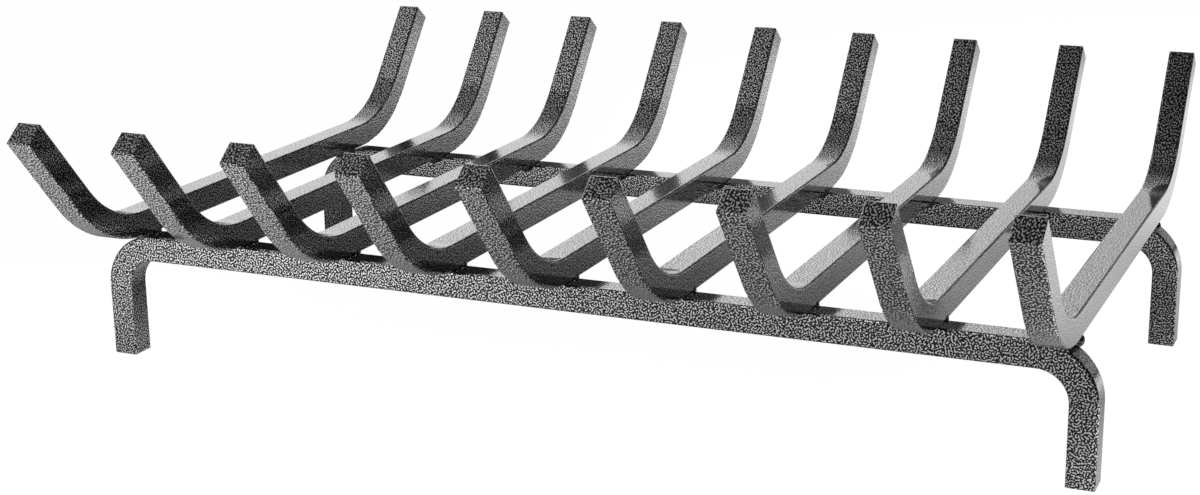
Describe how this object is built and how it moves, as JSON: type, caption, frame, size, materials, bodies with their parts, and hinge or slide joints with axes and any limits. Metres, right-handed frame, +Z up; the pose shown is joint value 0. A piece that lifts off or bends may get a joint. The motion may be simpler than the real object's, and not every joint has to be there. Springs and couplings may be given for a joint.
{
  "type": "fireplace log grate",
  "caption": "Free-standing welded log grate: square steel log bars bent up at both ends, lying across two leg rails whose ends bend down as legs.",
  "frame": {"origin": "on the floor, under the middle of the grate's overall box", "axes": "+X to the right along the leg rails as seen from the front, +Y to the back along the log bars, +Z up"},
  "size_m": [0.618, 0.4718, 0.1684],
  "materials": {
    "hammertone_coat": "silver-vein hammertone powder coat: fine dark and light mottling, semi-gloss",
    "coated_weld": "weld bead under the same powder coat, darker and smoother"
  },
  "bodies": {
    "root": {"log_bar_1": "hammertone_coat", "log_bar_2": "hammertone_coat", "log_bar_3": "hammertone_coat", "log_bar_4": "hammertone_coat", "log_bar_5": "hammertone_coat", "log_bar_6": "hammertone_coat", "log_bar_7": "hammertone_coat", "log_bar_8": "hammertone_coat", "log_bar_9": "hammertone_coat", "front_leg_rail": "hammertone_coat", "rear_leg_rail": "hammertone_coat", "front_weld_1": "coated_weld", "front_weld_2": "coated_weld", "front_weld_3": "coated_weld", "front_weld_4": "coated_weld", "front_weld_5": "coated_weld", "front_weld_6": "coated_weld", "front_weld_7": "coated_weld", "front_weld_8": "coated_weld", "front_weld_9": "coated_weld", "rear_weld_1": "coated_weld", "rear_weld_2": "coated_weld", "rear_weld_3": "coated_weld", "rear_weld_4": "coated_weld", "rear_weld_5": "coated_weld", "rear_weld_6": "coated_weld", "rear_weld_7": "coated_weld", "rear_weld_8": "coated_weld", "rear_weld_9": "coated_weld"}
  },
  "joints": []
}
